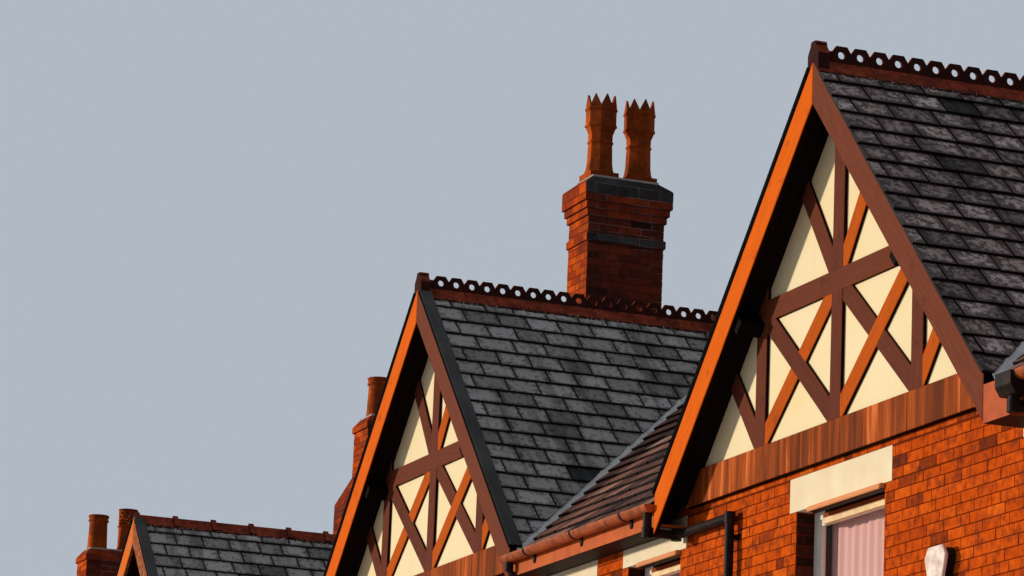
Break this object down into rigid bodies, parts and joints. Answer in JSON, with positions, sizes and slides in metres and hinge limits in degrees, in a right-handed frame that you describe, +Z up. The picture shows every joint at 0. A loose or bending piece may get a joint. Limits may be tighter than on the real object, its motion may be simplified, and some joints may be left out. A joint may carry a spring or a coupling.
{
  "type": "terraced house row",
  "caption": "Row of brick houses with half-timbered cross gables, slate roofs, crested ridge tiles and tall chimneys, closed by plain party walls.",
  "frame": {"origin": "on the ground, under the middle of the row's length and depth", "axes": "+X along the street towards the tall pair's end wall, -Y faces the street with the gables, +Z up"},
  "size_m": [34.781, 8.748, 12.32],
  "materials": {
    "front_brick": "orange-red facing brick with darker bricks and thin dark joints",
    "party_brick": "plain common brick",
    "chimney_brick": "sooty dark red brick",
    "floor_concrete": "screeded",
    "floor_boards": "sawn boards",
    "cream_render": "painted render",
    "orange_timber": "weathered orange-brown stain",
    "dark_timber": "dark stain",
    "barge_paint": "orange-brown stain",
    "flaking_barge_paint": "flaking paint",
    "gable_slate": "weathered slate",
    "main_slate": "red-brown weathered slate",
    "ridge_clay": "weathered fired clay",
    "lead": "dull sheet lead",
    "fascia_paint": "painted terracotta",
    "gutter_paint": "worn orange-brown paint",
    "pipe_paint": "black gloss, dusty",
    "mortar": "weathered mortar",
    "pot_clay": "fired clay",
    "cream_stone": "painted stone",
    "frame_paint": "satin white paint",
    "hood_paint": "salmon paint",
    "door_paint": "dark green gloss",
    "window_glass": "clear",
    "box_plastic": "weathered, bare"
  },
  "bodies": {
    "root": {"front_wall_tall": "front_brick", "front_wall_low": "front_brick", "rear_wall_tall": "front_brick", "rear_wall_low": "front_brick", "end_wall_near": "party_brick", "end_wall_far": "party_brick", "party_walls": "party_brick", "ground_floors": "floor_concrete", "first_floors": "floor_boards", "gable_walls": "cream_render", "timber_bands": "orange_timber", "gable_timbers_tall": "orange_timber", "gable_timbers_low": "orange_timber", "barge_boards_tall": "barge_paint", "barge_boards_low": "flaking_barge_paint", "purlin_ends": "dark_timber", "gable_roofs_tall": "gable_slate", "gable_roofs_low": "gable_slate", "front_roof_tall": "main_slate", "front_roof_low": "main_slate", "rear_roof_tall": "main_slate", "rear_roof_low": "main_slate", "crested_ridges": "ridge_clay", "main_ridge_tall": "ridge_clay", "plain_ridges": "ridge_clay", "valley_leads": "lead", "fascias": "fascia_paint", "gutters": "gutter_paint", "downpipes": "pipe_paint", "eaves_boxes": "fascia_paint", "crown_chimneys": "chimney_brick", "middle_chimney": "chimney_brick", "far_chimney": "chimney_brick", "flaunchings": "mortar", "crown_pots": "pot_clay", "round_pots": "pot_clay", "lintels": "cream_stone", "sills": "cream_stone", "window_frames": "frame_paint", "window_glass": "window_glass", "window_hoods": "hood_paint", "door_frames": "frame_paint", "doors": "door_paint", "alarm_box": "box_plastic"}
  },
  "joints": []
}
